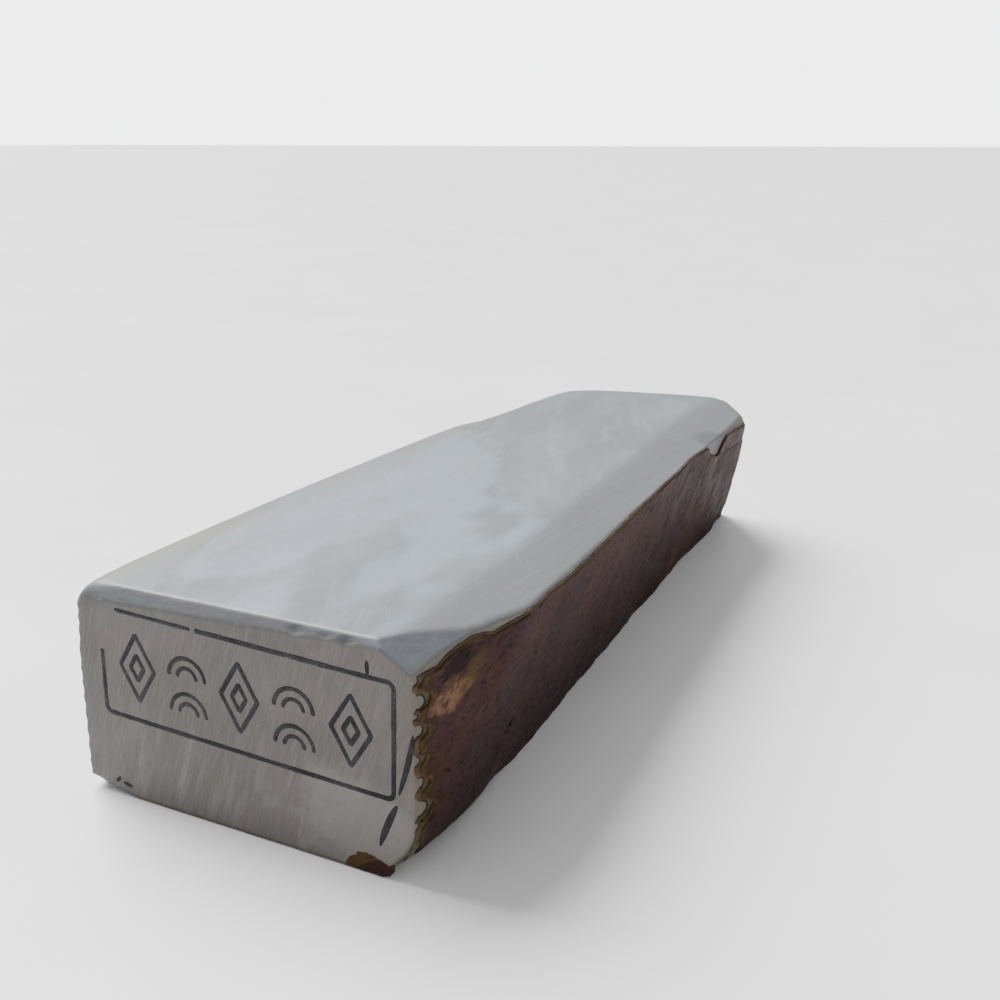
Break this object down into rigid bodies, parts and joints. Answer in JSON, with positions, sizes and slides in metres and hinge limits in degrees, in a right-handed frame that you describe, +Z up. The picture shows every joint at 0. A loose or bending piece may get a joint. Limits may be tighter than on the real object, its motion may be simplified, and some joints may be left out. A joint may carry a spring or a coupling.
{
  "type": "sharpening whetstone",
  "caption": "Long rectangular natural whetstone with a flat honing top, bevelled corners, one dark skin side and an inked ornament on its sawn end.",
  "frame": {"origin": "middle of the underside, on the surface the stone lies on", "axes": "+Y along the stone from the inked end to the far end, +X towards the dark skin side, +Z up through the honing face"},
  "size_m": [0.0776, 0.205, 0.041],
  "materials": {
    "honing_stone": "satin",
    "rind": "matte",
    "skin": "matte",
    "ink": "matte"
  },
  "bodies": {
    "root": {"stone_body": "honing_stone", "weathered_rind": "rind", "side_skin": "skin", "far_skin": "skin", "corner_skin": "skin", "stamp_border": "ink", "stamp_figures": "ink", "brush_marks": "ink"}
  },
  "joints": []
}
